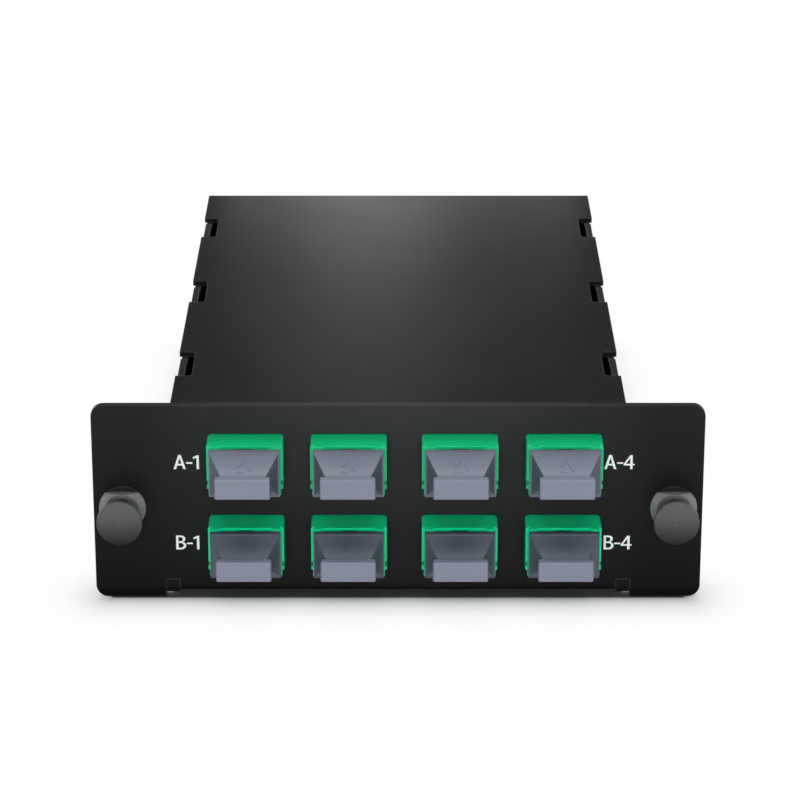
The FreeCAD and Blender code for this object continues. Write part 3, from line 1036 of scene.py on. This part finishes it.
def relief_tree(material: bpy.types.Material) -> bpy.types.NodeTree:
    """Strokes repeated round a ring and dropped onto a cap's surface.

    Args:
        material: The strokes' material.

    Returns:
        The geometry tree, made once.
    """
    if "relief" in _TREES:
        return _TREES["relief"]
    tree = bpy.data.node_groups.new("cap_relief", "GeometryNodeTree")
    face = tree.interface
    face.new_socket("Cap", in_out="INPUT", socket_type="NodeSocketObject")
    face.new_socket("Centre", in_out="INPUT", socket_type="NodeSocketVector")
    for name in ("Ring", "Length", "Width", "Rise"):
        face.new_socket(name, in_out="INPUT", socket_type="NodeSocketFloat")
    face.new_socket("Geometry", in_out="OUTPUT", socket_type="NodeSocketGeometry")

    def add(kind: str, **settings: Any) -> bpy.types.Node:
        """Add a node to the tree.

        Args:
            kind: The node's type.
            **settings: Its settings.

        Returns:
            The node.
        """
        made = tree.nodes.new(kind)
        for key, value in settings.items():
            setattr(made, key, value)
        return made

    def link(
        source: bpy.types.Node, output: str | int, target: bpy.types.Node, socket: str | int
    ) -> None:
        """A link between two nodes."""
        tree.links.new(source.outputs[output], target.inputs[socket])

    given = add("NodeGroupInput")
    ring = add("GeometryNodeMeshCircle", fill_type="NONE")
    ring.inputs["Vertices"].default_value = STROKES
    link(given, "Ring", ring, "Radius")
    bar_size = add("ShaderNodeCombineXYZ")
    link(given, "Length", bar_size, "X")
    link(given, "Width", bar_size, "Y")
    link(given, "Rise", bar_size, "Z")
    bar = add("GeometryNodeMeshCube")
    bar.inputs["Vertices X"].default_value, bar.inputs["Vertices Y"].default_value = STROKE_POINTS
    link(bar_size, 0, bar, "Size")
    index = add("GeometryNodeInputIndex")
    turn = add("ShaderNodeMath", operation="MULTIPLY_ADD")
    link(index, 0, turn, 0)
    turn.inputs[1].default_value = math.radians(360.0 / STROKES)
    turn.inputs[2].default_value = STROKE_LEAN
    spin = add("ShaderNodeCombineXYZ")
    link(turn, 0, spin, "Z")
    spread = add("GeometryNodeInstanceOnPoints")
    link(ring, "Mesh", spread, "Points")
    link(bar, "Mesh", spread, "Instance")
    link(spin, 0, spread, "Rotation")
    whole = add("GeometryNodeRealizeInstances")
    link(spread, "Instances", whole, "Geometry")
    here = add("GeometryNodeInputPosition")
    above = add("ShaderNodeVectorMath", operation="ADD")
    link(here, 0, above, 0)
    link(given, "Centre", above, 1)
    cap = add("GeometryNodeObjectInfo", transform_space="ORIGINAL")
    link(given, "Cap", cap, "Object")
    flat = add("ShaderNodeVectorMath", operation="MULTIPLY")
    link(above, 0, flat, 0)
    flat.inputs[1].default_value = (1.0, 1.0, 0.0)
    lift = add("ShaderNodeSeparateXYZ")
    link(given, "Centre", lift, 0)
    start_z = add("ShaderNodeCombineXYZ")
    link(lift, "Z", start_z, "Z")
    start = add("ShaderNodeVectorMath", operation="ADD")
    link(flat, 0, start, 0)
    link(start_z, 0, start, 1)
    ray = add("GeometryNodeRaycast")
    link(cap, "Geometry", ray, "Target Geometry")
    link(start, 0, ray, "Source Position")
    ray.inputs["Ray Direction"].default_value = (0.0, 0.0, -1.0)
    ray.inputs["Ray Length"].default_value = RAY_LENGTH
    own = add("ShaderNodeSeparateXYZ")
    link(here, 0, own, 0)
    stand = add("ShaderNodeVectorMath", operation="SCALE")
    link(ray, "Hit Normal", stand, 0)
    link(own, "Z", stand, "Scale")
    landed = add("ShaderNodeVectorMath", operation="ADD")
    link(ray, "Hit Position", landed, 0)
    link(stand, 0, landed, 1)
    drop = add("GeometryNodeSetPosition")
    link(whole, "Geometry", drop, "Geometry")
    link(landed, 0, drop, "Position")
    paint = add("GeometryNodeSetMaterial")
    paint.inputs["Material"].default_value = material
    link(drop, "Geometry", paint, "Geometry")
    result = add("NodeGroupOutput")
    link(paint, "Geometry", result, 0)
    _TREES["relief"] = tree
    return tree


def apply_tree(
    piece: bpy.types.Object, tree: bpy.types.NodeTree, inputs: dict[str, Any]
) -> None:
    """Run a geometry tree on a piece and keep its result as a plain mesh.

    Args:
        piece: The object that the tree fills.
        tree: The geometry tree.
        inputs: Its named inputs.
    """
    modifier = piece.modifiers.new("build", "NODES")
    modifier.node_group = tree
    for item in tree.interface.items_tree:
        if item.in_out == "INPUT" and item.name in inputs:
            modifier[item.identifier] = inputs[item.name]
    bpy.context.view_layer.update()
    graph = bpy.context.evaluated_depsgraph_get()
    made = bpy.data.meshes.new_from_object(piece.evaluated_get(graph))
    piece.modifiers.remove(modifier)
    piece.data = made


@dataclass
class Plungers:
    """The push-in plungers of both ears, with their grommets."""

    palette: Palette

    def dress(self) -> None:
        """Give both pairs their finish."""
        for side in Side:
            self.palette.dress(f"plunger_grommet_{side.value}", COLLAR_PLASTIC)
            self.palette.dress(f"plunger_{side.value}", KNOB_PLASTIC)


# ---------------------------------------------------------------------------------------------
# Studio
# ---------------------------------------------------------------------------------------------


@dataclass
class Lamp:
    """One soft box."""

    name: str
    place: Point
    aim: Point
    width: float
    height: float
    power: float

    def build(self) -> bpy.types.Object:
        """Hang the lamp, out of the camera's sight.

        Returns:
            The lamp.
        """
        data = bpy.data.lights.new(self.name, "AREA")
        data.shape = "RECTANGLE"
        data.size, data.size_y = self.width, self.height
        data.energy = self.power
        lamp = add_object(self.name, data)
        lamp.location = self.place
        line = Vector(self.aim) - Vector(self.place)
        lamp.rotation_euler = line.to_track_quat("-Z", "Y").to_euler()
        lamp.visible_camera = False
        return lamp


@dataclass
class Studio:
    """Floor, far wall, soft lamps, even surroundings and the camera.

    The two glow lamps are small. They give the case's top its soft gradient, as mirrored light.
    """

    lamps: list[Lamp] = field(
        default_factory=lambda: [
            Lamp("top_box", (0.0, -0.25, 0.85), (0.0, -0.02, 0.02), 0.9, 0.5, 2.7),
            Lamp("front_box", (0.0, -1.2, 0.36), (0.0, -0.05, 0.02), 0.5, 0.16, 7.2),
            Lamp("left_box", (-1.0, 0.05, 0.12), (0.0, 0.02, 0.02), 0.5, 0.2, 3.4),
            Lamp("right_box", (1.0, 0.05, 0.12), (0.0, 0.02, 0.02), 0.5, 0.2, 3.4),
            Lamp("back_box", (0.0, 0.5, 1.0), (0.0, 0.05, 0.02), 0.6, 0.4, 3.6),
            Lamp("far_glow", (-0.011, 0.448, 0.121), (-0.011, 0.05, 0.036), 0.042, 0.042, 0.017),
            Lamp("near_glow", (0.001, 0.149, 0.0555), (0.001, 0.05, 0.036), 0.085, 0.019, 0.0036),
        ]
    )
    world_level: float = 0.09
    floor_reach: float = 30.0
    floor_drop: float = 0.2 * MM
    floor_colour: Colour = (0.7, 0.7, 0.7)
    floor_core: Colour = (0.12, 0.12, 0.12)
    shadow_core: float = 0.6 * MM
    shadow_fade: float = 4.0 * MM
    panel_foot: float = 2.0 * MM
    ear_round: float = 3.0 * MM
    wall_radius: float = 28.0
    wall_height: float = 4.0
    wall_sides: int = 64
    eye: Point = (0.35 * MM, -593.0 * MM, 239.5 * MM)
    tilt_down: float = 20.64
    lens: float = 145.26
    sensor: float = 36.0

    def build(self) -> None:
        """Set up everything round the object."""
        self.add_floor()
        self.add_wall()
        for lamp in self.lamps:
            lamp.build()
        self.add_world()
        self.add_camera()
        bpy.context.scene.view_settings.view_transform = "Standard"

    def add_floor(self) -> None:
        """A wide floor, painted dark under the object and whiter with distance from it."""
        mesh = bpy.data.meshes.new("floor")
        far = self.floor_reach
        mesh.from_pydata(
            [(-far, -far, 0), (far, -far, 0), (far, far, 0), (-far, far, 0)], [], [(0, 1, 2, 3)]
        )
        floor = add_object("floor", mesh)
        floor.location.z = -self.floor_drop
        graph = Graph("floor")
        seen = seen_rays(graph)
        low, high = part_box("tray")
        foot_low = Vector((low.x + self.ear_round, low.y, low.z))
        foot_high = Vector((high.x - self.ear_round, low.y + self.panel_foot, high.z))
        panel = distance_from_box(graph, foot_low, foot_high)
        case = distance_from_box(graph, *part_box("cover"))
        gap = panel.least(case)
        clear = 1.0 - (gap * (-1.0 / self.shadow_fade)).exponential()
        open_floor = (gap * (1.0 / self.shadow_core)).clamp()
        tone = graph.blend(open_floor, self.floor_core, self.floor_colour)
        matt = graph.node("ShaderNodeBsdfDiffuse", None, {"Color": tone}, "BSDF")
        both = graph.node(
            "ShaderNodeMixShader",
            None,
            {"Fac": clear * seen, 1: matt, 2: white_glow(graph, seen)},
            "Shader",
        )
        graph.feed(graph.output.inputs["Surface"], both)
        mesh.materials.append(graph.material)

    def add_wall(self) -> None:
        """A far round wall that carries the white on above the horizon."""
        form = bmesh.new()
        bmesh.ops.create_cone(
            form,
            segments=self.wall_sides,
            radius1=self.wall_radius,
            radius2=self.wall_radius,
            depth=self.wall_height,
            matrix=Matrix.Translation((0.0, 0.0, self.wall_height / 2)),
        )
        mesh = bpy.data.meshes.new("wall")
        form.to_mesh(mesh)
        form.free()
        wall = add_object("wall", mesh)
        graph = Graph("wall")
        graph.feed(graph.output.inputs["Surface"], white_glow(graph, seen_rays(graph)))
        mesh.materials.append(graph.material)

    def add_world(self) -> None:
        """An even dim light from all round."""
        world = bpy.data.worlds.new("surroundings")
        bpy.context.scene.world = world
        world.use_nodes = True
        nodes, links = world.node_tree.nodes, world.node_tree.links
        nodes.clear()
        background = nodes.new("ShaderNodeBackground")
        background.inputs["Color"].default_value = (1.0, 1.0, 1.0, 1.0)
        background.inputs["Strength"].default_value = self.world_level
        end = nodes.new("ShaderNodeOutputWorld")
        links.new(background.outputs["Background"], end.inputs["Surface"])

    def add_camera(self) -> None:
        """The camera, looking down at the panel and the case's top."""
        data = bpy.data.cameras.new("camera")
        data.lens = self.lens
        data.sensor_width = self.sensor
        data.clip_start, data.clip_end = 0.05, 100.0
        camera = add_object("camera", data)
        camera.location = self.eye
        camera.rotation_euler = (math.radians(90.0 - self.tilt_down), 0.0, 0.0)
        bpy.context.scene.camera = camera


def distance_from_box(graph: Graph, low: Vector, high: Vector) -> Value:
    """How far a point of the floor is from what stands on it.

    Args:
        graph: The tree that reads it.
        low: The lowest corner of what stands there.
        high: Its highest corner.

    Returns:
        The distance, in metres, and 0 underneath.
    """
    middle, half = (low + high) / 2, (high - low) / 2
    steps: list[tuple[str, Point | None]] = [
        ("SUBTRACT", (middle.x, middle.y, 0.0)),
        ("ABSOLUTE", None),
        ("SUBTRACT", (half.x, half.y, 1.0)),
        ("MAXIMUM", (0.0, 0.0, 0.0)),
    ]
    kind = "ShaderNodeVectorMath"
    point = graph.place()
    for operation, other in steps:
        inputs = {0: point} | ({1: other} if other else {})
        point = graph.node(kind, {"operation": operation}, inputs, "Vector")
    return graph.node(kind, {"operation": "LENGTH"}, {0: point}, "Value")


def seen_rays(graph: Graph) -> Value:
    """1 for the rays that see the surroundings, 0 for those that carry their light.

    Args:
        graph: The tree that reads it.

    Returns:
        1 for camera, glossy and transmission rays.
    """
    kinds = ("Is Camera Ray", "Is Glossy Ray", "Is Transmission Ray")
    camera, glossy, through = (
        graph.node("ShaderNodeLightPath", None, None, kind) for kind in kinds
    )
    return (camera + glossy + through).clamp()


def white_glow(graph: Graph, strength: Value) -> Value:
    """A white emission.

    Args:
        graph: The tree that gets it.
        strength: Its strength.

    Returns:
        The shader.
    """
    return graph.node(
        "ShaderNodeEmission", None, {"Color": (1.0, 1.0, 1.0), "Strength": strength}, "Emission"
    )


def main() -> None:
    """Build each sub-assembly in order."""
    logging.basicConfig(level=logging.INFO, format="%(name)s: %(message)s")
    Studio().build()
    palette = Palette()
    for build in (
        Case(palette).dress,
        PortNames(palette).print_all,
        Couplers(palette).dress,
        DustCaps(palette).dress,
        Plungers(palette).dress,
    ):
        build()


if __name__ == "__main__":
    main()
